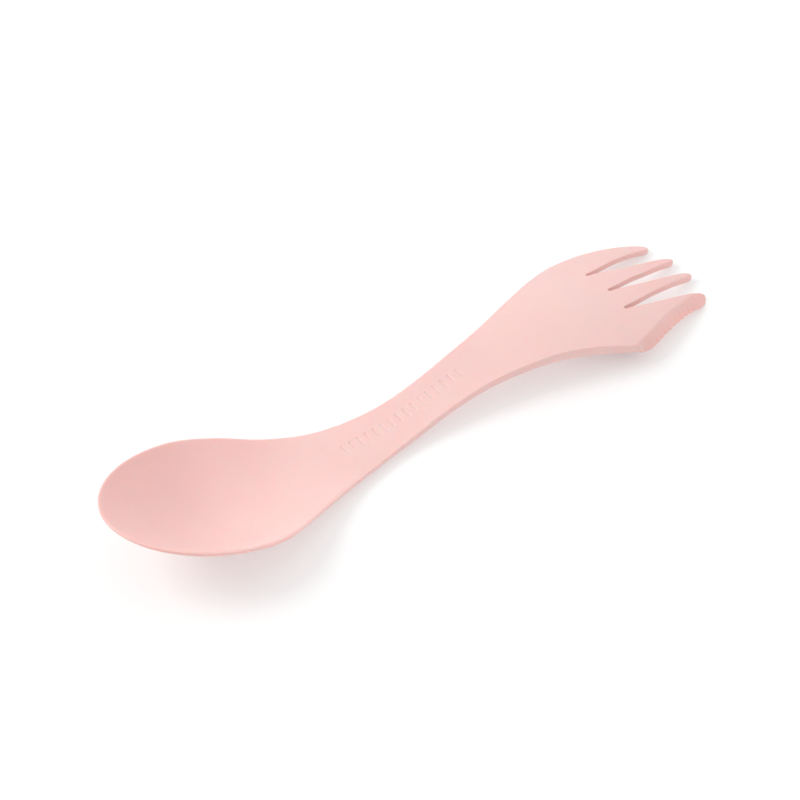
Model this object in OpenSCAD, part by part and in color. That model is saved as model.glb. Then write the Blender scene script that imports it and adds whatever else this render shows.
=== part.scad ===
// Spork: a spoon bowl at one end, a four-tined fork head with a
// serrated cutting edge at the other, and a flat waisted handle
// between them.  It is one plastic moulding, about 2 mm thick.
//
// Frame: X runs along the spork, from the spoon tip (-X) to the tines
// (+X), Y across it, Z up.  The spork lies on the plane z = 0, touching
// it under the bowl and under the tine tips.  The cutting edge is on
// the -Y side.
//
// The moulding is held as named regions that meet face to face on
// planes square to X, so each region keeps its own true section.

/* [Overall] */
// Length from the spoon tip to the tine tips
overall_len = 170; // [150:1:190]
// Height of the spoon tip above the table
tip_height = 21; // [17:0.5:24]

/* [Spoon bowl] */
// Widest part of the bowl
bowl_w = 40; // [34:0.5:44]
// How far the bowl sinks below its rim, at its widest part
bowl_depth = 9.4; // [8:0.1:9.4]
// Wall at the bottom of the bowl
bowl_wall = 1.7; // [1.3:0.1:1.8]
// Width of the flat lip round the bowl
lip_w = 1; // [0.6:0.1:1.6]
// Height of the upright outer face of the lip
lip_h = 0.8; // [0.6:0.1:1.2]

/* [Handle] */
// Narrowest part of the handle, without its fuller near side
waist_w = 12; // [9:0.5:16]
// How much fuller the handle is on the side of the cutting edge
near_full = 0.5; // [0:0.1:1]
// Thickness of the handle at its middle
handle_t = 2.6; // [2.2:0.1:3.2]

/* [Fork head] */
// Width over the tines, without the flare of the cutting edge
fork_w = 32; // [28:0.5:36]
// How far the middle of the fork head crowns above its edges
crown_h = 2.1; // [1:0.1:2.5]
// Length of the slots, measured back from the longest tines
slot_len = 25.5; // [20:0.5:30]
// Distance between the centre lines of neighbouring slots
slot_gap = 7.5; // [7:0.1:8]
// Width of a slot at its root
slot_root_w = 0.8; // [0.6:0.1:1.4]
// Width of a slot at its mouth
slot_mouth_w = 4.8; // [3.6:0.1:5]
// Thickness of the tines
tine_t = 1.7; // [1.4:0.1:1.9]

/* [Cutting edge] */
// How far the cutting edge flares out beyond the fork head
flare = 2.7; // [1.5:0.1:3.5]
// Number of notches along the cutting edge
notch_n = 10; // [6:1:11]
// Spacing of the notches along X
notch_pitch = 1.8; // [1.4:0.1:1.9]
// Depth of each notch
notch_d = 0.6; // [0.2:0.1:0.8]

/* [Hidden] */

pink = [0.96, 0.76, 0.73];
kx = overall_len / 170;          // stretch of every station along X
slot_x = 85 - slot_len;          // station of the outer slot's root
seam_c = slot_x - 0.5;           // fork palm to tines
seam_a = -20;                    // bowl to handle
seam_b = 20;                     // handle to fork palm
bowl_x = -56;                    // station of the bowl's widest part
bw = bowl_w / 2;
ww = waist_w / 2;
fw = fork_w / 2;

// ---- a smooth curve through knots [[x, value], ...] -------------------
function rise(k, i) = (k[i + 1][1] - k[i][1]) / (k[i + 1][0] - k[i][0]);
function mid_slope(k, i) =
    let (a = k[i][0] - k[i - 1][0], b = k[i + 1][0] - k[i][0])
    (rise(k, i - 1) * b + rise(k, i) * a) / (a + b);
function slope(k, i) =
    i == 0 ? 1.5 * rise(k, 0) - 0.5 * mid_slope(k, 1)
    : i == len(k) - 1 ? 1.5 * rise(k, i - 1) - 0.5 * mid_slope(k, i - 1)
    : mid_slope(k, i);
function seg(k, x, i = 0) =
    i >= len(k) - 2 || x <= k[i + 1][0] ? i : seg(k, x, i + 1);
function curve(k, x, level_start = false) =
    let (i = seg(k, x), h = k[i + 1][0] - k[i][0], t = (x - k[i][0]) / h,
         m0 = level_start && i == 0 ? 0 : slope(k, i), m1 = slope(k, i + 1))
    (2 * t * t * t - 3 * t * t + 1) * k[i][1]
    + (t * t * t - 2 * t * t + t) * h * m0
    + (3 * t * t - 2 * t * t * t) * k[i + 1][1]
    + (t * t * t - t * t) * h * m1;
function ramp(x, a, b) =
    let (s = min(1, max(0, (x - a) / (b - a)))) s * s * (3 - 2 * s);

// ---- plan: half width of the outline ------------------------------------
half_w = [[-56, bw], [-45, bw * 0.89], [-35, bw * 0.67], [-25, ww + 3.7],
          [-15, ww + 1.5], [-5, ww + 0.3], [5, ww], [15, ww + 0.7],
          [25, ww + 2], [35, ww + 4], [45, fw - 3.2], [55, fw - 0.3],
          [62, fw], [70, fw - 0.7], [78, fw - 2], [84, fw - 3.6]];
function bowl_u(x) = min(1, max(0, (bowl_x - x) / (85.04 + bowl_x)));
function side(x) =
    x < bowl_x ? bw * sqrt(max(0, 1 - bowl_u(x) * bowl_u(x)))
               : curve(half_w, x, true);
function near(x) =
    side(x) + flare * ramp(x, 18, 54)
    + near_full * ramp(x, -36, -20) * (1 - ramp(x, 26, 40));

// ---- elevation: the upper face along the outline -------------------------
edge_z = [[-85, 21], [-75, 18], [-65, 14.8], [-55, 11.6], [-45, 8.3],
          [-35, 5.1], [-25, 3.3], [-15, 2.9], [-5, 3.7], [5, 5.8],
          [15, 7.8], [25, 9], [35, 10], [45, 9.5], [55, 7.1], [65, 5.4],
          [75, 3.2], [85, 0]];
function line_z(x) =
    curve(edge_z, x)
    + (tip_height - 21) * pow(max(0, (-20 - x) / 65), 2);
function crown(x, y) =
    let (r = y / (side(x) + 1.5))
    crown_h * ramp(x, 15, 50) * (1 - r * r);
// depth of the bowl below its rim, on the centre line; in front of the
// widest part it falls off over an ellipse instead
sink = [[-85, 1], [-70, 1.1], [-60, 1.06], [-50, 0.87], [-40, 0.51],
        [-30, 0.17], [-20, 0]];
function depth(x) = x >= seam_a ? 0 : bowl_depth * max(0, curve(sink, x));

// ---- thickness: on the centre line and at the edge ------------------------
mid_t = [[-85, bowl_wall], [-50, bowl_wall], [-35, bowl_wall],
         [-20, handle_t - 0.6], [0, handle_t], [40, handle_t],
         [55, tine_t + 0.5], [65, tine_t + 0.1], [75, tine_t], [85, tine_t]];
side_t = [[-85, lip_h], [-50, lip_h], [-40, lip_h + 0.1], [-20, 1.3],
          [0, handle_t - 0.4], [20, handle_t - 0.1], [45, handle_t + 0.1],
          [55, tine_t + 0.7], [65, tine_t + 0.1], [75, tine_t], [85, tine_t]];
function round_n(x) = 2 + 2 * ramp(x, -35, -10);
function body_t(x, s) =
    let (p = pow(abs(s), round_n(x)))
    curve(mid_t, x) * (1 - p) + curve(side_t, x) * p;

// upper and lower face at station x, s = -1 (near edge) .. 1 (far edge)
// how far out a point is, squared: 0 on the centre line, 1 at the outline
function out2(x, y) =
    let (s = x < bowl_x ? y / bw : y < 0 ? y / near(x) : y / side(x), u = bowl_u(x))
    min(1, u * u + s * s);
// the same inside the lip
function in2(x, y) =
    let (l = min(lip_w, side(x) * 0.9),
         u = max(0, bowl_x - x) / (85 + bowl_x - l),
         s = y / (x < bowl_x ? bw - l : max(0.01, side(x) - l)))
    min(1, u * u + s * s);
function lip(x) = lip_w * (1 - ramp(x, -32, -16)) + 0.3 * ramp(x, -32, -16);
function top_z(x, y) = line_z(x) + crown(x, y) - depth(x) * (1 - in2(x, y));
function low_z(x, y) =
    let (s2 = out2(x, y))
    max(0, line_z(x) + crown(x, y) - depth(x) * (1 - s2) - body_t(x, sqrt(s2)));

// ---- cutting edge --------------------------------------------------------
// outline of the sharp edge, in plan, and the line where its bevel starts
knife_y = [[55, 19], [59, 18.7], [62, 17.7], [66, 16.4], [70, 15.2],
           [74, 14], [77, 13.3], [80, 12.7], [83, 11.5]];
bevel_y = [[53.2, 18], [59, 16.4], [64, 14.4], [69, 12.7], [73, 11.8],
           [76, 11.1], [79, 10.3], [81, 9.9], [84, 9.6]];
notch_x = 60.2;                  // station of the first notch
function zig(x) =
    let (k = (x - notch_x) / notch_pitch, f = k - floor(k))
    k < -0.5 || k > notch_n - 0.5 ? 0 : max(0, 1 - 2 * min(f, 1 - f) / 0.9);
function knife_edge(x) = curve(knife_y, x) + (flare - 2.7) * 0.8;
function near_edge(x) =
    x < 55 ? near(x)
           : min(near(x) + 0.6 * ramp(x, 53, 56), knife_edge(x)) - notch_d * zig(x);
function bevel_line(x) = curve(bevel_y, x) + (flare - 2.7) * 0.8;
// width of the chamfer on the near edge and how far it drops
function near_cut(x) =
    x < 53.2 ? 0.3 : max(0.3, near_edge(x) - bevel_line(x));
function near_drop(x) =
    let (t = body_t(x, 1)) 0.25 + (t - 0.7) * ramp(x, 52.8, 55.5);

// ---- closed ring of points at one station ------------------------------------
// fractions across the section, closer together at the edges
function spread(n) = [for (i = [0:n]) sin(150 * i / n - 75) / sin(75)];
TOP = spread(16);
LOW = spread(18);
function ring(x) =
    let (wf = side(x), wn = near_edge(x), cf = min(lip(x), wf * 0.5),
         cn = x < 40 ? min(lip(x), wn * 0.5) : near_cut(x),
         df = x < -16 ? 0 : 0.25 * ramp(x, -16, 0),
         dn = x < 40 ? df : near_drop(x))
    concat(
        [[x * kx, -wn, top_z(x, -wn) - dn]],
        [for (s = TOP) let (y = s < 0 ? s * (wn - cn) : s * (wf - cf))
            [x * kx, y, top_z(x, y)]],
        [[x * kx, wf, top_z(x, wf) - df]],
        [for (i = [len(LOW) - 1:-1:0])
            let (s = LOW[i], y = s < 0 ? s * wn : s * wf)
            [x * kx, y, low_z(x, y)]]);

// ---- skin over a row of rings ---------------------------------------------
// each ring runs along its upper row, then back along a lower row of as
// many points, so the two ends close with strips between the rows
module loft(rings) {
    n = len(rings[0]);
    m = len(rings);
    h = n / 2;
    polyhedron(
        points = [for (r = rings) each r],
        faces = concat(
            [for (i = [0:h - 2]) [i, n - 1 - i, n - 2 - i, i + 1]],
            [for (i = [0:h - 2], e = (m - 1) * n)
                [e + i, e + i + 1, e + n - 2 - i, e + n - 1 - i]],
            [for (j = [0:m - 2], i = [0:n - 1])
                let (a = j * n + i, b = j * n + (i + 1) % n)
                each [[a, b, a + n], [b, b + n, a + n]]]),
        convexity = 6);
}
function steps(a, b, n) = [for (i = [0:n]) a + (b - a) * i / n];

// the bowl, from a small flat at the spoon tip to the handle
module spoon_bowl() {
    tip = [for (i = [0:15]) -85 + 29 * (1 - cos(90 * i / 15))];
    color(pink) loft([for (x = concat(tip, steps(-54, seam_a, 15))) ring(x)]);
}

module handle() {
    color(pink) loft([for (x = steps(seam_a, seam_b, 16)) ring(x)]);
}

module fork_palm() {
    color(pink) loft([for (x = concat(
        steps(seam_b, 52, 13), [52.8, 53.2, 53.6, 54, 54.5],
        steps(55, seam_c, 5))) ring(x)]);
}

// ---- tines ---------------------------------------------------------------------
// the slots are numbered from the far side; each has a round root
root_x = [slot_x, slot_x + 0.5, slot_x - 0.3];
slot_y = [slot_gap, 0, -slot_gap];
function slot_w(x, k) =
    let (d = x - root_x[k], r = slot_root_w / 2, q = (x - slot_x) / (80 - slot_x),
         law = slot_root_w + (slot_mouth_w - slot_root_w) * (2.1 * q - 1.1 * q * q))
    d <= 0 ? 0 : d < r ? min(law, 2 * sqrt(r * r - (r - d) * (r - d))) : max(law, slot_root_w);
// round nose: share of the full width that is left at station x
function nose(x, x_tip, r) =
    x < x_tip - r ? 1 : sqrt(max(0, 1 - pow((x - x_tip + r) / r, 2)));
// closed ring of a tine between y0 and y1, with chamfers c0 and c1
function tine_ring(x, y0, y1, c0, c1) =
    let (w = y1 - y0, a = max(0.02, min(c0, w * 0.3)), b = max(0.02, min(c1, w * 0.3)))
    concat(
        [[x * kx, y0, top_z(x, y0) - a]],
        [for (i = [0:4]) let (y = y0 + a + (w - a - b) * i / 4) [x * kx, y, top_z(x, y)]],
        [[x * kx, y1, top_z(x, y1) - b]],
        [[x * kx, y1, low_z(x, y1) + b]],
        [for (i = [4:-1:0]) let (y = y0 + a + (w - a - b) * i / 4) [x * kx, y, low_z(x, y)]],
        [[x * kx, y0, low_z(x, y0) + a]]);
function root_steps(k) = let (r = root_x[k]) [r - 0.01, r + 0.03, r + 0.1, r + 0.2, r + 0.4];
function before(v, x) = [for (a = v) if (a < x - 0.001) a];
function after(v, x) = [for (a = v) if (a > x + 0.001) a];
// stations of a tine beside slot a, and slot b if it has two
function stations(a, b, x_tip, r) =
    let (ra = root_steps(a), rb = root_steps(b), lo = root_x[a] < root_x[b] ? ra : rb,
         hi = root_x[a] < root_x[b] ? rb : ra,
         roots = a == b ? ra : concat(before(lo, hi[0]), hi))
    concat([seam_c], roots, after(steps(slot_x + 1.5, x_tip - r, 12), roots[len(roots) - 1] + 0.3),
           [for (i = [1:6]) x_tip - r + r * sin(90 * i / 6.3)]);
module inner_tine(a, b, x_tip, r) {
    color(pink) loft([for (x = stations(a, b, x_tip, r))
        let (lo = slot_y[b] + slot_w(x, b) / 2, hi = slot_y[a] - slot_w(x, a) / 2,
             c = (lo + hi) / 2, h = (hi - lo) / 2 * nose(x, x_tip, r))
        tine_ring(x, c - h, c + h, min(0.25, slot_w(x, b) / 3), min(0.25, slot_w(x, a) / 3))]);
}
module inner_tine_far() { inner_tine(0, 1, 85, 1.6); }
module inner_tine_near() { inner_tine(1, 2, 85, 1.6); }
module outer_tine() {
    color(pink) loft([for (x = stations(0, 0, 83.6, 2.2))
        let (lo = slot_y[0] + slot_w(x, 0) / 2, hi = side(x),
             c = (lo + hi) / 2 - 0.4 * ramp(x, 80, 84), h = (hi - lo) / 2 * nose(x, 83.6, 2.2))
        tine_ring(x, c - h, c + h, min(0.25, slot_w(x, 0) / 3), 0.25)]);
}

// the tine with the bevelled, notched edge; its bevel widens until it
// takes in the whole tip
function knife_ring(x, x_tip, r) =
    let (n = nose(x, x_tip, r), ya = -near_edge(x), yb = slot_y[2] - slot_w(x, 2) / 2,
         c = yb - (yb - ya) * (1 - n) * 0.5, w = (yb - ya) * n, a = c - w,
         k = max(0.02, min(0.25, slot_w(x, 2) / 3, w * 0.2)),
         line = max(a + w * 0.25, min(c - k - w * 0.2, -bevel_line(x))),
         drop = near_drop(x),
         all_over = ramp(x, 79, 82.5) * 0.35)
    concat(
        [[x * kx, a, max(top_z(x, a) - drop, low_z(x, a) + 0.4)]],
        [for (i = [0:4]) let (y = line + (c - k - line) * i / 4)
            [x * kx, y, top_z(x, y) - all_over]],
        [[x * kx, c, top_z(x, c) - k - all_over]],
        [[x * kx, c, low_z(x, c) + k]],
        [for (i = [4:-1:0]) let (y = a + w * 0.1 + (w * 0.9 - k) * i / 4) [x * kx, y, low_z(x, y)]],
        [[x * kx, a, low_z(x, a) + 0.08]]);
module knife_tine() {
    x_tip = 83.7;
    r = 2.2;
    roots = root_steps(2);
    color(pink) loft([for (x = concat(
        [seam_c], roots,
        after([for (i = [0:notch_n * 6 + 2]) notch_x - 0.6 + i * notch_pitch / 6],
              roots[4] + 0.1),
        after([77.5, 78.5, 79.5, 80.5], notch_x - 0.6 + (notch_n + 0.5) * notch_pitch),
        [for (i = [0:6]) x_tip - r + r * sin(90 * i / 6.3)]))
        knife_ring(x, x_tip, r)]);
}

spoon_bowl();
handle();
fork_palm();
outer_tine();
inner_tine_far();
inner_tine_near();
knife_tine();
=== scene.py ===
import math

import bpy
import numpy as np
from mathutils import Matrix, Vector
from mathutils.geometry import delaunay_2d_cdt


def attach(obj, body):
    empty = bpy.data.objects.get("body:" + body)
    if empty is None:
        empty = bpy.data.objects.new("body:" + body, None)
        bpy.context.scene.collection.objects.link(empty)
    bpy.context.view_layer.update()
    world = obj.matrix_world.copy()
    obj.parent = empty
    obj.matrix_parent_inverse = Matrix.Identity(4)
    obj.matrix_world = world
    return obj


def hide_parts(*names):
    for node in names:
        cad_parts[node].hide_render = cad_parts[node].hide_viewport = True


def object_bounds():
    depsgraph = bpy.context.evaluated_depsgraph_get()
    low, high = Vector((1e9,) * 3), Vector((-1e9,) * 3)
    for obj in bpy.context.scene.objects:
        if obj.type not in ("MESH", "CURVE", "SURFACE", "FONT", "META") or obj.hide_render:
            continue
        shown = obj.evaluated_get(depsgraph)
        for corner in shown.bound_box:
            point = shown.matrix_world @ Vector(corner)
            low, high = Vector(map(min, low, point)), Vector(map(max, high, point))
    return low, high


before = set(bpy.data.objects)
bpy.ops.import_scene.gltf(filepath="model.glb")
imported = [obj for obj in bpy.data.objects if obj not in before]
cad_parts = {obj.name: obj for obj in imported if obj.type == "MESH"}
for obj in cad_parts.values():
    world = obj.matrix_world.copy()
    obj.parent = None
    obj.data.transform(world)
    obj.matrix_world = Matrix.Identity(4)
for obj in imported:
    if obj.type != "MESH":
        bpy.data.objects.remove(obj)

cad_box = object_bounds()
MM = 0.001

# --------------------------------------------------------------------------
# the spork's own surfaces, in millimetres: X along it, Y across it, Z up
# --------------------------------------------------------------------------
BOWL_W, WAIST, FORK = 20.0, 6.0, 16.0        # half widths
FLARE, CROWN = 2.7, 2.1
SLOT_X = 59.5
BOWL_DEPTH, LIP, LIP_SKEW = 9.4, 0.65, 0.2
SLOT_Y = (7.5, -0.15, -7.15)
ROOT_X = (SLOT_X, SLOT_X + 0.5, SLOT_X - 0.3)

HALF_W = [(-56, BOWL_W), (-45, BOWL_W * 0.89), (-35, BOWL_W * 0.67),
          (-25, WAIST + 3.7), (-15, WAIST + 1.5), (-5, WAIST + 0.3),
          (5, WAIST), (15, WAIST + 0.7), (25, WAIST + 2), (35, WAIST + 4),
          (45, FORK - 3.2), (55, FORK - 0.3), (62, FORK), (70, FORK - 0.55),
          (78, FORK - 1.9), (84, FORK - 3.5)]
EDGE_Z = [(-85, 21), (-75, 18), (-65, 14.8), (-55, 11.6), (-45, 8.3),
          (-35, 5.1), (-25, 3.3), (-15, 2.9), (-5, 3.7), (5, 5.8), (15, 7.8),
          (25, 9), (35, 10), (45, 9.5), (55, 7.1), (65, 5.4), (75, 3.2),
          (85, 0)]
SINK = [(-85, 1), (-70, 1.1), (-60, 1.06), (-50, 0.87), (-40, 0.51),
        (-30, 0.17), (-20, 0)]
MID_T = [(-85, 1.7), (-50, 1.7), (-35, 1.7), (-20, 2.0), (0, 2.6), (40, 2.6),
         (55, 2.2), (65, 1.8), (75, 1.7), (85, 1.7)]
SIDE_T = [(-85, 0.8), (-60, 0.85), (-50, 0.85), (-40, 0.85), (-20, 1.3), (0, 2.0),
          (20, 2.3), (45, 3.0), (55, 2.7), (65, 1.9), (75, 1.7), (85, 1.7)]
KNIFE_Y = [(55, 19), (59, 18.8), (62, 17.9), (66, 16.65), (70, 15.4),
           (74, 14.3), (77, 13.65), (80, 13.05), (82, 12.1), (83.6, 10.8)]
BEVEL_Y = [(53.2, 18), (59, 16.4), (64, 14.4), (69, 12.7), (73, 11.8),
           (76, 11.1), (79, 10.3), (81, 9.9), (84, 9.6)]
SLOT_W = [(59, 0.78), (61.5, 0.98), (63.5, 1.45), (66.5, 2.4), (69.5, 3.25),
          (73.5, 4.05), (80, 4.7), (85.5, 4.95)]
# how far each slot's near and far side stray from the even taper
LO_DRIFT = ([(59, 0), (60.4, 0), (62, -0.08), (65, -0.22), (86, -0.22)],
            [(59, 0), (60.4, 0), (63, -0.05), (67, -0.05), (72, 0.15), (78, 0.25), (84, 0.38), (86, 0.4)],
            [(59, 0), (60.4, 0), (62, -0.25), (64, -0.32), (66, -0.25), (70, -0.1), (86, -0.1)])
HI_DRIFT = ([(59, 0), (86, 0)],
            [(59, 0), (60.4, 0), (62, -0.07), (64.5, -0.15), (69, -0.33), (73.5, -0.6), (78.5, -0.3), (83, -0.02), (86, 0.05)],
            [(59, 0), (60.4, 0), (62, 0.05), (64, -0.05), (69, -0.18), (73, -0.25), (78, -0.05), (84, 0.2), (86, 0.25)])
NOTCHES, NOTCH_X, NOTCH_PITCH, NOTCH_D = 10, 60.2, 1.8, 0.25


def curve(knots, x, level=False):
    """Smooth curve through (x, value) knots."""
    k = np.array(knots, float)
    xs, ys = k[:, 0], k[:, 1]
    x = np.asarray(x, float)
    h = np.diff(xs)
    s = np.diff(ys) / h
    m = np.empty(len(xs))
    m[1:-1] = (s[:-1] * h[1:] + s[1:] * h[:-1]) / (h[:-1] + h[1:])
    m[0] = 0.0 if level else 1.5 * s[0] - 0.5 * m[1]
    m[-1] = 1.5 * s[-1] - 0.5 * m[-2]
    i = np.clip(np.searchsorted(xs, x) - 1, 0, len(xs) - 2)
    t = (x - xs[i]) / h[i]
    return ((2 * t**3 - 3 * t**2 + 1) * ys[i] + (t**3 - 2 * t**2 + t) * h[i] * m[i]
            + (3 * t**2 - 2 * t**3) * ys[i + 1] + (t**3 - t**2) * h[i] * m[i + 1])


def ramp(x, a, b):
    s = np.clip((np.asarray(x, float) - a) / (b - a), 0, 1)
    return s * s * (3 - 2 * s)


def soft_pos(x, e):
    """max(0, x) with its corner rounded over about e."""
    return 0.5 * (x + np.sqrt(x * x + e * e))


def soft_min(a, b, e):
    return a - soft_pos(a - b, e)


def bowl_u(x):
    return np.clip((-56 - np.asarray(x, float)) / 29.0, 0, 1)


def oval_p(s):
    """Power of the bowl's oval: fuller on the near side than on the far one."""
    return 1.98 - 0.06 * np.tanh(2.5 * s)


def oval(u, s):
    """1 on the bowl's outline, which is close to an ellipse."""
    p = oval_p(s)
    return np.abs(u) ** p + np.abs(s) ** p


def side(x):
    x = np.asarray(x, float)
    return np.where(x < -56, BOWL_W * np.maximum(0, 1 - bowl_u(x)**1.98) ** (1 / 1.98),
                    curve(HALF_W, np.maximum(x, -56), True))


def near(x):
    full = 0.5 * ramp(x, -36, -20) * (1 - 0.3 * ramp(x, 4, 14)) * (1 - ramp(x, 26, 40))
    slim = 0.45 * ramp(x, -51, -42) * (1 - ramp(x, -42, -34))
    return side(x) + FLARE * ramp(x, 18, 54) + full - slim


def knife_edge(x):
    return curve(KNIFE_Y, np.maximum(x, 55))


def near_edge(x):
    """Half width on the near side, with the corner of the cutting edge."""
    x = np.asarray(x, float)
    body = near(x) + 0.6 * ramp(x, 53, 56)
    return np.where(x < 50, near(x), soft_min(body, curve(KNIFE_Y, np.maximum(x, 55)), 0.25))


def bevel_line(x):
    return curve(BEVEL_Y, x)


def slot_w(x):
    return curve(SLOT_W, x)


def depth(x):
    x = np.asarray(x, float)
    return np.where(x >= -20, 0.0, BOWL_DEPTH * np.maximum(0, curve(SINK, np.minimum(x, -20))))


def out2(x, y):
    s = np.where(x < -56, y / BOWL_W, np.where(y < 0, y / np.maximum(near(x), 0.01), y / np.maximum(side(x), 0.01)))
    u = bowl_u(x)
    return oval(u, s)


def in2(x, y):
    w = side(x)
    l = np.minimum(LIP - LIP_SKEW * np.tanh(y / 7), w * 0.9)
    u = np.maximum(0, -56 - x) / (29 - l)
    s = y / np.where(x < -56, BOWL_W - l, np.maximum(0.01, w - l))
    return oval(u, s)


def crown(x, y):
    return CROWN * ramp(x, 15, 50) * (1 - (y / (np.maximum(side(x), 1) + 1.5))**2)


def body_t(x, s):
    p = np.clip(np.abs(s), 0, 1) ** (2 + 2 * ramp(x, -35, -10))
    return curve(MID_T, x) * (1 - p) + curve(SIDE_T, x) * p


# a row of plain upright bars sunk into the handle
BARS = [(-20.2 + 2.25 * k, 0.25) for k in range(16)]
BAR_HALF, BAR_R, BAR_DEPTH, BAR_SOFT = 1.3, 0.30, 0.17, 0.12


def bar_sink(x, y):
    z = np.zeros_like(x)
    for bx, by in BARS:
        d = np.hypot(x - bx, np.maximum(0, np.abs(y - by) - BAR_HALF))
        z = np.maximum(z, 1 - ramp(d, BAR_R - BAR_SOFT, BAR_R + BAR_SOFT))
    return BAR_DEPTH * z


def top_z(x, y):
    """Upper face, with the lip, the bowl and the bevel."""
    z = curve(EDGE_Z, x) + crown(x, y) - depth(x) * soft_pos(1 - in2(x, y), 0.014)
    # the cutting edge's bevel, falling to a thin edge
    kx = np.clip(x, 53.2, 84)
    line, edge = bevel_line(kx), knife_edge(kx)
    v = (-y - line) / np.maximum(edge - line, 0.3)
    t = body_t(x, 1.0)
    drop = np.maximum(0, t - 0.45) * ramp(x, 52.6, 55.8)
    z = z - drop * np.minimum(soft_pos(v, 0.05), 1.15)
    # past the last notch the bevel takes in the whole tip
    z = z - 0.35 * ramp(x, 79, 82.5) * ramp(-y, 8.6, 9.6)
    return z - bar_sink(x, y)


def low_z(x, y):
    s2 = np.minimum(1, out2(x, y))
    z = curve(EDGE_Z, x) + crown(x, y) - depth(x) * (1 - s2) - body_t(x, np.sqrt(s2))
    return soft_pos(z, 0.05)


# --------------------------------------------------------------------------
# the outline in plan, anticlockwise, with the reach of its edge rings and the
# radius of its upper and lower edges
# --------------------------------------------------------------------------
outline, reach, r_top, r_low, inward = [], [], [], [], []


def add_run(pts, step, d, rt, rl, towards=None):
    """Add a run of the outline, resampled about every `step`."""
    pts = np.asarray(pts, float)
    s = np.concatenate([[0], np.cumsum(np.hypot(*np.diff(pts, axis=0).T))])
    n = max(2, int(round(s[-1] / step)))
    t = np.linspace(0, s[-1], n + 1)[:-1]
    p = np.stack([np.interp(t, s, pts[:, 0]), np.interp(t, s, pts[:, 1])], 1)
    f = t / s[-1]
    for a, b in ((d, reach), (rt, r_top), (rl, r_low)):
        a = a if isinstance(a, tuple) else (a, a)
        p_ = f ** (a[2] if len(a) > 2 else 1)
        b.extend(a[0] + (a[1] - a[0]) * p_)
    outline.extend(p)
    inward.extend(np.zeros_like(p) if towards is None else towards(p) - p)


def nose(x_tip, r, lo, hi, power=2.0, n=160):
    """Round end of a tine between the edges lo(x) and hi(x)."""
    a = np.linspace(-math.pi / 2, math.pi / 2, n)
    c, s = np.abs(np.cos(a)) ** (2 / power), np.sign(np.sin(a)) * np.abs(np.sin(a)) ** (2 / power)
    x = x_tip - r + r * c
    return np.stack([x, (lo(x) + hi(x)) / 2 + (hi(x) - lo(x)) / 2 * s], 1)


def spine(x_end, lo, hi):
    """From a point of a nose to the middle line of its tine."""
    def towards(p):
        x = np.minimum(p[:, 0], x_end)
        return np.stack([x, (lo(x) + hi(x)) / 2], 1)
    return towards


def slot_lo(k):
    return lambda x: SLOT_Y[k] - slot_w(x) / 2 + curve(LO_DRIFT[k], x)


def slot_hi(k):
    return lambda x: SLOT_Y[k] + slot_w(x) / 2 + curve(HI_DRIFT[k], x)


def add_slot(k, x_from, x_to):
    """Back along the near side of a slot, round its root and out again."""
    lean = math.atan(0.035)
    r = 0.4
    for _ in range(30):                      # circle that both sides run into
        x0 = ROOT_X[k] + r * (1 - math.sin(lean))
        r = slot_w(x0) / 2 / math.cos(lean)
    x = np.linspace(x_from, x0, 200)
    add_run(np.stack([x, slot_lo(k)(x)], 1), 0.32, 0.8, (T_FAR, T_ROOT), (T_LOW, T_ROOT))
    a = np.linspace(-math.pi / 2 + lean, math.pi / 2 - lean, 60)
    add_run(np.stack([ROOT_X[k] + r - r * np.cos(a), SLOT_Y[k] + r * np.sin(a)], 1), 0.07, 0.8, T_ROOT, T_ROOT)
    x = np.linspace(x0, x_to, 200)
    add_run(np.stack([x, slot_hi(k)(x)], 1), 0.32, (0.8, 1.15), (T_ROOT, T_NEAR, 2.5), (T_ROOT, T_LOW))


T_ROOT, T_FAR, T_NEAR, T_LOW = 0.2, 0.32, 0.8, 0.45    # edge radii of the tines
a = np.linspace(0, math.pi / 2, 200)
q = 2 / oval_p(-np.sin(a))
add_run(np.stack([-56 - 29 * np.cos(a) ** q, -BOWL_W * np.sin(a) ** q], 1), 0.45, 1.9, 0.18, 0.3)
x = np.linspace(-56, 52.5, 800)
add_run(np.stack([x[x < 10], -near(x[x < 10])], 1), 0.5, (1.9, 1.2), 0.2, (0.25, 0.4))
add_run(np.stack([x[x > 9.8], -near(x[x > 9.8])], 1), 0.5, (1.2, 0.9), 0.2, (0.4, 0.7))
K_TIP, K_R, K_POW = 83.5, 2.5, 2.2
x = np.linspace(52.5, K_TIP - K_R, 900)
add_run(np.stack([x[x < 60], -near_edge(x[x < 60])], 1), 0.2, 0.9, (0.2, 0.1), (0.6, 0.12))
add_run(np.stack([x[x > 59.9], -near_edge(x[x > 59.9])], 1), 0.12, (0.9, 0.7), 0.1, (0.12, 0.14))
near_side = lambda x: -near_edge(x)
add_run(nose(K_TIP, K_R, near_side, slot_lo(2), K_POW), 0.1, 0.7, (0.15, 0.3), (0.14, 0.3),
        spine(K_TIP - 1.2, near_side, slot_lo(2)))
I_TIP, I_R, I_POW = 85.0, 3.2, 2.0
O_TIP, O_R, O_POW = 83.6, 3.0, 2.0
add_slot(2, K_TIP - K_R, I_TIP - I_R)
add_run(nose(I_TIP, I_R, slot_hi(2), slot_lo(1), I_POW), 0.1, (1.15, 0.9), (T_NEAR, T_FAR), T_LOW,
        spine(I_TIP - 1.2, slot_hi(2), slot_lo(1)))
add_slot(1, I_TIP - I_R, I_TIP - I_R)
add_run(nose(I_TIP, I_R, slot_hi(1), slot_lo(0), I_POW), 0.1, (1.15, 0.9), (T_NEAR, T_FAR), T_LOW,
        spine(I_TIP - 1.2, slot_hi(1), slot_lo(0)))
add_slot(0, I_TIP - I_R, O_TIP - O_R)
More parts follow.
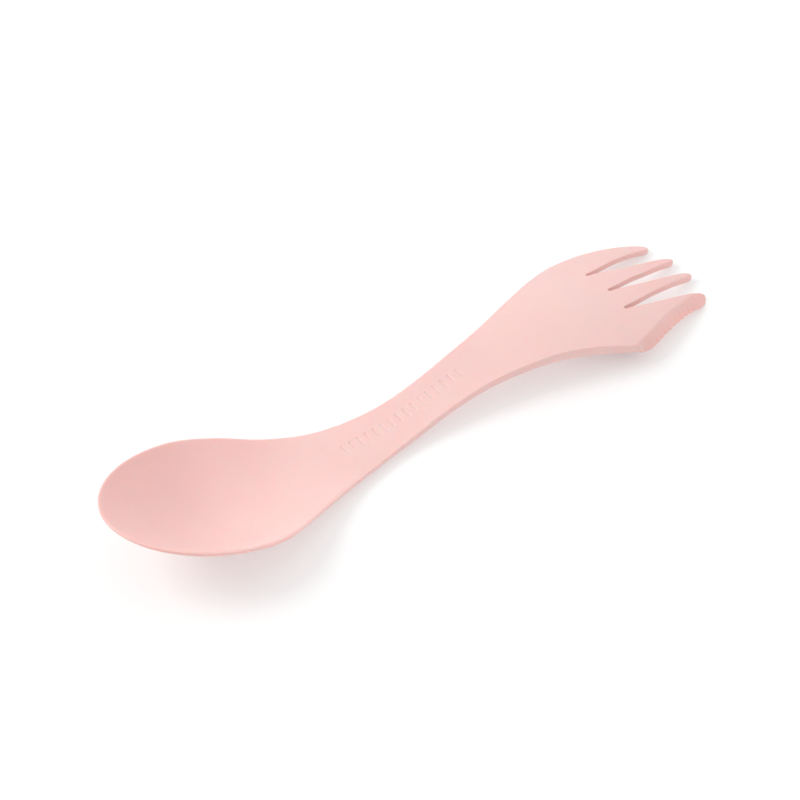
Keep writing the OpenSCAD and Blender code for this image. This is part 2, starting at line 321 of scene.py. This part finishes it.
add_run(nose(O_TIP, O_R, slot_hi(0), side, O_POW), 0.1, (1.15, 0.9), (T_NEAR, T_FAR), T_LOW,
        spine(O_TIP - 1.3, slot_hi(0), side))
x = np.linspace(O_TIP - O_R, -56, 1200)
add_run(np.stack([x[x > 52], side(x[x > 52])], 1), 0.4, 0.8, (0.45, 0.22), (0.5, 0.35))
add_run(np.stack([x[x < 52.1], side(x[x < 52.1])], 1), 0.5, (0.9, 1.9), 0.2, (0.4, 0.25))
a = np.linspace(math.pi / 2, 0, 200)
q = 2 / oval_p(np.sin(a))
add_run(np.stack([-56 - 29 * np.cos(a) ** q, BOWL_W * np.sin(a) ** q], 1), 0.45, 1.9, 0.18, 0.3)

P = np.array(outline)
keep = np.hypot(*(P - np.roll(P, 1, 0)).T) > 0.02
P = P[keep]
D, RT, RL, IN = (np.array(v)[keep] for v in (reach, r_top, r_low, inward))


def blur(v, n):
    for _ in range(n):
        v = (np.roll(v, 1, 0) + 2 * v + np.roll(v, -1, 0)) / 4
    return v


D, RT, RL = blur(D, 40), blur(RT, 20), blur(RL, 20)
# in a nose the rings stop short of the tine's middle line
span = np.hypot(*IN.T)
D = blur(np.where(span > 0, np.minimum(D, 0.78 * span), D), 4)
RT, RL = np.minimum(RT, 0.85 * D), np.minimum(RL, 0.85 * D)
step = np.hypot(*(np.roll(P, -1, 0) - P).T)
ahead = (np.roll(P, -1, 0) - P) / step[:, None]
back = np.roll(ahead, 1, 0)
T = ahead * np.roll(step, 1)[:, None] + back * step[:, None]
T /= np.hypot(*T.T)[:, None]
N_IN = np.stack([-T[:, 1], T[:, 0]], 1)
N_IN = np.where(span[:, None] > 0, IN / np.maximum(span, 1e-9)[:, None], N_IN)
N_IN = blur(N_IN, 3)
N_IN /= np.hypot(*N_IN.T)[:, None]

# no edge radius is over half of the wall it rounds
thick = top_z(P[:, 0], P[:, 1]) - low_z(P[:, 0], P[:, 1])
over = np.minimum(1, 0.92 * thick / (RT + RL))
RT, RL = RT * over, RL * over

ARC = np.radians([0, 15, 32, 50, 70, 90])
SPAN = np.array([0.1, 0.17, 0.24, 0.31, 0.38, 0.5, 0.7, 1.0])


def rings(radius):
    """Plan offset and drop of each ring, outline first."""
    out = [(radius * (1 - math.cos(t)), radius * (1 - math.sin(t))) for t in ARC]
    out += [(radius + (D - radius) * f, 0 * radius) for f in SPAN]
    return out


n_out = len(P)
core_ring = P + N_IN * D[:, None]

# --------------------------------------------------------------------------
# the faces inside the edge rings
# --------------------------------------------------------------------------


def inside(q, poly):
    a, b = poly, np.roll(poly, -1, 0)
    hit = np.zeros(len(q), bool)
    for i in range(0, len(q), 2000):
        x, y = q[i:i + 2000, 0:1], q[i:i + 2000, 1:2]
        cross = (a[:, 1] > y) != (b[:, 1] > y)
        xi = a[:, 0] + (y - a[:, 1]) * (b[:, 0] - a[:, 0]) / np.where(b[:, 1] == a[:, 1], 1e-12, b[:, 1] - a[:, 1])
        hit[i:i + 2000] = (np.sum(cross & (x < xi), 1) % 2) == 1
    return hit


def gap(q, pts):
    """Distance from each point of q to the nearest of pts."""
    out = np.empty(len(q))
    for i in range(0, len(q), 2000):
        d = q[i:i + 2000, None, :] - pts[None]
        out[i:i + 2000] = np.sqrt(np.min(np.sum(d * d, 2), 1))
    return out


fixed = []                                    # rows of points along features
for bx, by in BARS:
    for r in (BAR_R - BAR_SOFT, BAR_R, BAR_R + BAR_SOFT, BAR_R + BAR_SOFT + 0.12):
        t = np.linspace(0, math.pi, 9)
        fixed += [(bx + r * math.cos(v), by + BAR_HALF + r * math.sin(v)) for v in t]
        fixed += [(bx - r * math.cos(v), by - BAR_HALF - r * math.sin(v)) for v in t]
        fixed += [(bx + s * r, by + y) for s in (-1, 1) for y in np.linspace(-BAR_HALF, BAR_HALF, 9)[1:-1]]
    fixed += [(bx, by + y) for y in np.linspace(-BAR_HALF, BAR_HALF, 9)]
n_bar = len(fixed)
bx = np.arange(54.0, 83.0, 0.3)
bl = bevel_line(bx)
for off in (-0.5, -0.25, 0.0, 0.25, 0.5):
    fixed += list(zip(bx, -bl + off))
fixed = np.array(fixed)
fixed = fixed[inside(fixed, core_ring)]
fixed = fixed[gap(fixed, core_ring) > 0.15]

grid = []
for x0, x1, h in ((-84, 52, 0.7), (52.2, 84.5, 0.4)):
    rows = np.arange(-20, 20, h * 0.866)
    for j, y in enumerate(rows):
        xs = np.arange(x0, x1, h) + (h / 2 if j % 2 else 0)
        grid.append(np.stack([xs, np.full_like(xs, y), np.full_like(xs, h)], 1))
grid = np.concatenate(grid)
grid = grid[inside(grid[:, :2], core_ring)]
grid = grid[gap(grid[:, :2], core_ring) > 0.55 * grid[:, 2]]
grid = grid[gap(grid[:, :2], fixed) > 0.5 * grid[:, 2]]

pts = np.concatenate([core_ring, fixed, grid[:, :2]])
loop = list(range(n_out))
verts2, _, faces2, orig, _, _ = delaunay_2d_cdt(
    [tuple(p) for p in pts], [(i, (i + 1) % n_out) for i in loop], [], 0, 1e-6, True)
plan = np.array([tuple(v) for v in verts2])
if len(plan) != len(pts):
    print("plan points", len(pts), "->", len(plan))
source = [o[0] if o else -1 for o in orig]
tri = [tuple(f) for f in faces2]


def turn(f):
    (ax, ay), (bx_, by_), (cx, cy) = plan[f[0]], plan[f[1]], plan[f[2]]
    return (bx_ - ax) * (cy - ay) - (by_ - ay) * (cx - ax)


tri = [f if turn(f) > 0 else f[::-1] for f in tri]
middle = np.array([(plan[a] + plan[b] + plan[c]) / 3 for a, b, c in tri])
tri = [f for f, ok in zip(tri, inside(middle, core_ring)) if ok]

# --------------------------------------------------------------------------
# upper skin, lower skin and the wall between them
# --------------------------------------------------------------------------
V, F = [], []


def add_verts(xy, z):
    start = len(V)
    V.extend(zip(xy[:, 0], xy[:, 1], z))
    return np.arange(start, start + len(xy))


def skin(radius, height, sign):
    rows = []
    for d, drop in rings(radius):
        xy = P + N_IN * np.asarray(d)[:, None]
        rows.append(add_verts(xy, height(xy[:, 0], xy[:, 1]) - sign * drop))
    inner = np.full(len(plan), -1)
    last = rows[-1]
    new = [i for i, s in enumerate(source) if not 0 <= s < n_out]
    for i, s in enumerate(source):
        if 0 <= s < n_out:
            inner[i] = last[s]
    inner[new] = add_verts(plan[new], height(plan[new, 0], plan[new, 1]))
    for a, b in zip(rows[:-1], rows[1:]):
        for i in range(n_out):
            j = (i + 1) % n_out
            q = (a[i], a[j], b[j], b[i])
            F.append(q if sign > 0 else q[::-1])
    for f in tri:
        q = tuple(inner[k] for k in f)
        F.append(q if sign > 0 else q[::-1])
    return rows[0]


rim_top = skin(RT, top_z, 1)
rim_low = skin(RL, low_z, -1)
va = np.array(V)
zt, zl = va[rim_top, 2], va[rim_low, 2]
rows = [rim_top]
for f in (0.33, 0.67):
    rows.append(add_verts(P, zt + (zl - zt) * f))
rows.append(rim_low)
for a, b in zip(rows[:-1], rows[1:]):
    for i in range(n_out):
        j = (i + 1) % n_out
        F.append((a[i], b[i], b[j], a[j]))
V = np.array(V)

# the notches: points near the cutting edge move in, and the face dips
x, y = V[:, 0], V[:, 1]
k = (x - NOTCH_X) / NOTCH_PITCH
f = np.abs(k - np.round(k))
in_row = (k > -0.5) & (k < NOTCHES - 0.5) & (y < -9)
vee = np.where(in_row, np.clip(1 - f / 0.28, 0, 1), 0)
vee = soft_pos(vee - 0.06, 0.05)
dist = np.clip(knife_edge(x) + y, 0, 5)
fade = np.clip(1 - dist / 2.0, 0, 1) ** 1.5
ex = np.gradient(knife_edge(np.linspace(55, 84, 300)), np.linspace(55, 84, 300))
slope = np.interp(x, np.linspace(55, 84, 300), ex)
nx, ny = slope, np.ones_like(slope)
ln = np.hypot(nx, ny)
V[:, 0] += NOTCH_D * vee * fade * nx / ln * 0.3
V[:, 1] += NOTCH_D * vee * fade * ny / ln
share = np.zeros(len(V))                 # the wall's rows follow the upper edge
share[:rim_low[0]] = 1
share[rows[1]], share[rows[2]] = 0.67, 0.33
V[:, 2] -= 0.19 * vee * fade * share

lo, hi = np.array(cad_box[0]) * 1000, np.array(cad_box[1]) * 1000
V = np.clip(V, lo, hi)

mesh = bpy.data.meshes.new("spork_moulding")
mesh.from_pydata((V * MM).tolist(), [], [tuple(int(i) for i in q) for q in F])
mesh.validate()
mesh.update()
mesh.shade_smooth()
spork = bpy.data.objects.new("spork_moulding", mesh)
bpy.context.scene.collection.objects.link(spork)
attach(spork, "root")
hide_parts("spoon_bowl", "handle", "fork_palm", "outer_tine",
            "inner_tine_far", "inner_tine_near", "knife_tine")

# --------------------------------------------------------------------------
# material: satin moulded plastic
# --------------------------------------------------------------------------


def new_material(name):
    m = bpy.data.materials.new(name)
    m.use_nodes = True
    nt = m.node_tree
    for n in list(nt.nodes):
        nt.nodes.remove(n)
    out = nt.nodes.new("ShaderNodeOutputMaterial")
    bsdf = nt.nodes.new("ShaderNodeBsdfPrincipled")
    nt.links.new(bsdf.outputs["BSDF"], out.inputs["Surface"])
    return m, nt, bsdf


m, nt, bsdf = new_material("satin_plastic")
L = nt.links.new
coord = nt.nodes.new("ShaderNodeTexCoord")


def noise(scale, detail, rough=0.5):
    n = nt.nodes.new("ShaderNodeTexNoise")
    n.inputs["Scale"].default_value = scale
    n.inputs["Detail"].default_value = detail
    n.inputs["Roughness"].default_value = rough
    L(coord.outputs["Object"], n.inputs["Vector"])
    return n


def map_range(src, a, b, c, d):
    n = nt.nodes.new("ShaderNodeMapRange")
    for name, v in zip(("From Min", "From Max", "To Min", "To Max"), (a, b, c, d)):
        n.inputs[name].default_value = v
    L(src, n.inputs["Value"])
    return n.outputs["Result"]


# broad, faint shifts of tint, as the melt leaves them, over a fine mottle
flow = noise(35, 3, 0.5)
mottle = noise(900, 2, 0.6)
tint = nt.nodes.new("ShaderNodeMix")
tint.data_type = "RGBA"
tint.inputs["A"].default_value = (0.858, 0.581, 0.554, 1)
tint.inputs["B"].default_value = (0.882, 0.613, 0.586, 1)
L(map_range(flow.outputs["Fac"], 0.3, 0.7, 0, 1), tint.inputs["Factor"])
# painted shade: a shade deeper at both ends, over the bowl's tip and the tine tips, which turn away from the light
where = nt.nodes.new("ShaderNodeSeparateXYZ")
L(coord.outputs["Object"], where.inputs["Vector"])
painted_end_shade_mask = nt.nodes.new("ShaderNodeMath")
painted_end_shade_mask.operation = "MAXIMUM"
L(map_range(where.outputs["X"], -0.078, -0.048, 1, 0), painted_end_shade_mask.inputs[0])
L(map_range(where.outputs["X"], 0.066, 0.084, 0, 0.8), painted_end_shade_mask.inputs[1])
painted_end_shade = nt.nodes.new("ShaderNodeMix")
painted_end_shade.data_type = "RGBA"
painted_end_shade.blend_type = "MULTIPLY"
painted_end_shade.inputs["B"].default_value = (0.97, 0.918, 0.903, 1)
L(painted_end_shade_mask.outputs["Value"], painted_end_shade.inputs["Factor"])
L(tint.outputs["Result"], painted_end_shade.inputs["A"])
# painted shade: warmer and darker along the thin bevel, which slopes away from the light; its line runs along 0.305 X -
# Y
across = nt.nodes.new("ShaderNodeMath")
across.operation = "MULTIPLY_ADD"
across.inputs[1].default_value = 0.305
L(where.outputs["X"], across.inputs[0])
flip = nt.nodes.new("ShaderNodeMath")
flip.operation = "MULTIPLY"
flip.inputs[1].default_value = -1.0
L(where.outputs["Y"], flip.inputs[0])
L(flip.outputs["Value"], across.inputs[2])
bevel_shade_mask = nt.nodes.new("ShaderNodeMath")
bevel_shade_mask.operation = "MULTIPLY"
L(map_range(across.outputs["Value"], 0.0339, 0.0347, 0, 1), bevel_shade_mask.inputs[0])
L(map_range(where.outputs["X"], 0.0535, 0.0575, 0, 1), bevel_shade_mask.inputs[1])
painted_bevel_shade = nt.nodes.new("ShaderNodeMix")
painted_bevel_shade.data_type = "RGBA"
painted_bevel_shade.blend_type = "MULTIPLY"
painted_bevel_shade.inputs["B"].default_value = (1.0, 0.935, 0.915, 1)
L(bevel_shade_mask.outputs["Value"], painted_bevel_shade.inputs["Factor"])
L(painted_end_shade.outputs["Result"], painted_bevel_shade.inputs["A"])
fine = nt.nodes.new("ShaderNodeMix")
fine.data_type = "RGBA"
fine.blend_type = "MULTIPLY"
fine.inputs["Factor"].default_value = 1.0
L(painted_bevel_shade.outputs["Result"], fine.inputs["A"])
grey = nt.nodes.new("ShaderNodeCombineColor")
v = map_range(mottle.outputs["Fac"], 0.25, 0.75, 0.985, 1.0)
for c in ("Red", "Green", "Blue"):
    L(v, grey.inputs[c])
L(grey.outputs["Color"], fine.inputs["B"])
L(fine.outputs["Result"], bsdf.inputs["Base Color"])
# satin texture of the mould face
rough = noise(260, 3, 0.6)
L(map_range(rough.outputs["Fac"], 0.3, 0.7, 0.42, 0.52), bsdf.inputs["Roughness"])
grain = noise(5200, 2, 0.55)
wave = noise(60, 2, 0.5)
b1 = nt.nodes.new("ShaderNodeBump")
b1.inputs["Strength"].default_value = 0.12
b1.inputs["Distance"].default_value = 0.00004
L(grain.outputs["Fac"], b1.inputs["Height"])
b2 = nt.nodes.new("ShaderNodeBump")
b2.inputs["Strength"].default_value = 0.08
b2.inputs["Distance"].default_value = 0.0004
L(wave.outputs["Fac"], b2.inputs["Height"])
L(b1.outputs["Normal"], b2.inputs["Normal"])
L(b2.outputs["Normal"], bsdf.inputs["Normal"])
bsdf.inputs["IOR"].default_value = 1.5
bsdf.inputs["Specular IOR Level"].default_value = 0.38
bsdf.inputs["Subsurface Weight"].default_value = 0.7
bsdf.inputs["Subsurface Radius"].default_value = (1.0, 0.33, 0.24)
bsdf.inputs["Subsurface Scale"].default_value = 0.0010
mesh.materials.append(m)

# --------------------------------------------------------------------------
# floor, light and camera
# --------------------------------------------------------------------------
fm, nt, bsdf = new_material("floor_white")
L = nt.links.new
coord = nt.nodes.new("ShaderNodeTexCoord")
n = noise(40, 3)
mixc = nt.nodes.new("ShaderNodeMix")
mixc.data_type = "RGBA"
mixc.inputs["A"].default_value = (0.62, 0.62, 0.62, 1)
mixc.inputs["B"].default_value = (0.63, 0.63, 0.627, 1)
L(n.outputs["Fac"], mixc.inputs["Factor"])
L(mixc.outputs["Result"], bsdf.inputs["Base Color"])
bsdf.inputs["Roughness"].default_value = 0.9
bsdf.inputs["Specular IOR Level"].default_value = 0.1
bsdf.inputs["Emission Color"].default_value = (1, 1, 1, 1)
# it glows evenly, and a painted shadow dims that glow on the floor where the palm closes over it
shade = nt.nodes.new("ShaderNodeAmbientOcclusion")
shade.samples = 8
shade.inputs["Distance"].default_value = 0.012
where = nt.nodes.new("ShaderNodeSeparateXYZ")
L(coord.outputs["Object"], where.inputs["Vector"])


def math_node(kind, a, b):
    n = nt.nodes.new("ShaderNodeMath")
    n.operation = kind
    for v, socket in ((a, n.inputs[0]), (b, n.inputs[1])):
        if isinstance(v, float):
            socket.default_value = v
        else:
            L(v, socket)
    return n.outputs["Value"]


palm = math_node("MULTIPLY", map_range(where.outputs["X"], 0.026, 0.044, 0, 1),
                 map_range(where.outputs["X"], 0.054, 0.062, 1, 0))
# painted shadow: the floor's glow drops where the floor is hemmed in under the palm
painted_palm_shadow = math_node("MULTIPLY", palm, map_range(shade.outputs["AO"], 0.12, 0.44, 0.36, 0))
L(math_node("SUBTRACT", 0.365, painted_palm_shadow), bsdf.inputs["Emission Strength"])

fmesh = bpy.data.meshes.new("floor")
s = 2.5
fmesh.from_pydata([(-s, -s, 0), (s, -s, 0), (s, s, 0), (-s, s, 0)], [], [(0, 1, 2, 3)])
fmesh.materials.append(fm)
floor = bpy.data.objects.new("floor", fmesh)
bpy.context.scene.collection.objects.link(floor)

scene = bpy.context.scene
scene.view_settings.view_transform = "Standard"
world = bpy.data.worlds.new("studio")
scene.world = world
world.use_nodes = True
bg = world.node_tree.nodes["Background"]
bg.inputs["Color"].default_value = (1, 1, 1, 1)
# a white surround that is dimmer low down on the camera's side
sky = world.node_tree
way = sky.nodes.new("ShaderNodeTexCoord")
total = None
for d, gain in (((-0.7895, 0.6137, 0), 0.05), ((0.7895, -0.6137, 0), 0.30), ((0.6137, 0.7895, 0), 0.25),
                ((-0.6137, -0.7895, 0), -0.15)):
    dot = sky.nodes.new("ShaderNodeVectorMath")
    dot.operation = "DOT_PRODUCT"
    dot.inputs[1].default_value = d
    sky.links.new(way.outputs["Generated"], dot.inputs[0])
    pos = sky.nodes.new("ShaderNodeMath")
    pos.operation = "MAXIMUM"
    pos.inputs[1].default_value = 0
    sky.links.new(dot.outputs["Value"], pos.inputs[0])
    part = sky.nodes.new("ShaderNodeMath")
    part.operation = "MULTIPLY_ADD"
    part.inputs[1].default_value = gain
    part.inputs[2].default_value = 0.65
    sky.links.new(pos.outputs["Value"], part.inputs[0])
    if total:
        sky.links.new(total, part.inputs[2])
    total = part.outputs["Value"]
sky.links.new(total, bg.inputs["Strength"])


def area(name, place, aim, size, power, colour=(1, 1, 1)):
    light = bpy.data.lights.new(name, "AREA")
    light.shape = "DISK"
    light.size = size
    light.energy = power
    light.color = colour
    o = bpy.data.objects.new(name, light)
    bpy.context.scene.collection.objects.link(o)
    p, q = np.array(place, float), np.array(aim, float)
    z = (p - q) / np.linalg.norm(p - q)
    x_ = np.cross((0, 1, 0.01), z)
    x_ /= np.linalg.norm(x_)
    y_ = np.cross(z, x_)
    mat = Matrix.Identity(4)
    for i in range(3):
        mat[i][0], mat[i][1], mat[i][2], mat[i][3] = x_[i], y_[i], z[i], p[i]
    o.matrix_world = mat
    return o


area("key", (-0.5583, 0.4340, 0.7071), (0, 0, 0), 0.5, 4.1)
area("top", (-0.0276, 0.0214, 0.9994), (0, 0, 0), 1.0, 1.0)

cam_data = bpy.data.cameras.new("camera")
cam_data.sensor_width = 36
cam_data.lens = 123.285
cam = bpy.data.objects.new("camera", cam_data)
scene.collection.objects.link(cam)
az, el, roll = math.radians(37.8108), math.radians(44.8683), math.radians(-0.0686)
right = np.array([math.cos(az), -math.sin(az), 0])
fwd = np.array([math.sin(az) * math.cos(el), math.cos(az) * math.cos(el), -math.sin(el)])
up = np.array([math.sin(az) * math.sin(el), math.cos(az) * math.sin(el), math.cos(el)])
right, up = (math.cos(roll) * right + math.sin(roll) * up,
             math.cos(roll) * up - math.sin(roll) * right)
mat = Matrix.Identity(4)
for i in range(3):
    mat[i][0], mat[i][1], mat[i][2] = right[i], up[i], -fwd[i]
    mat[i][3] = (-0.28228090, -0.35829717, 0.46105909)[i]
cam.matrix_world = mat
cam_data.clip_start = 0.01
cam_data.clip_end = 20
scene.camera = cam
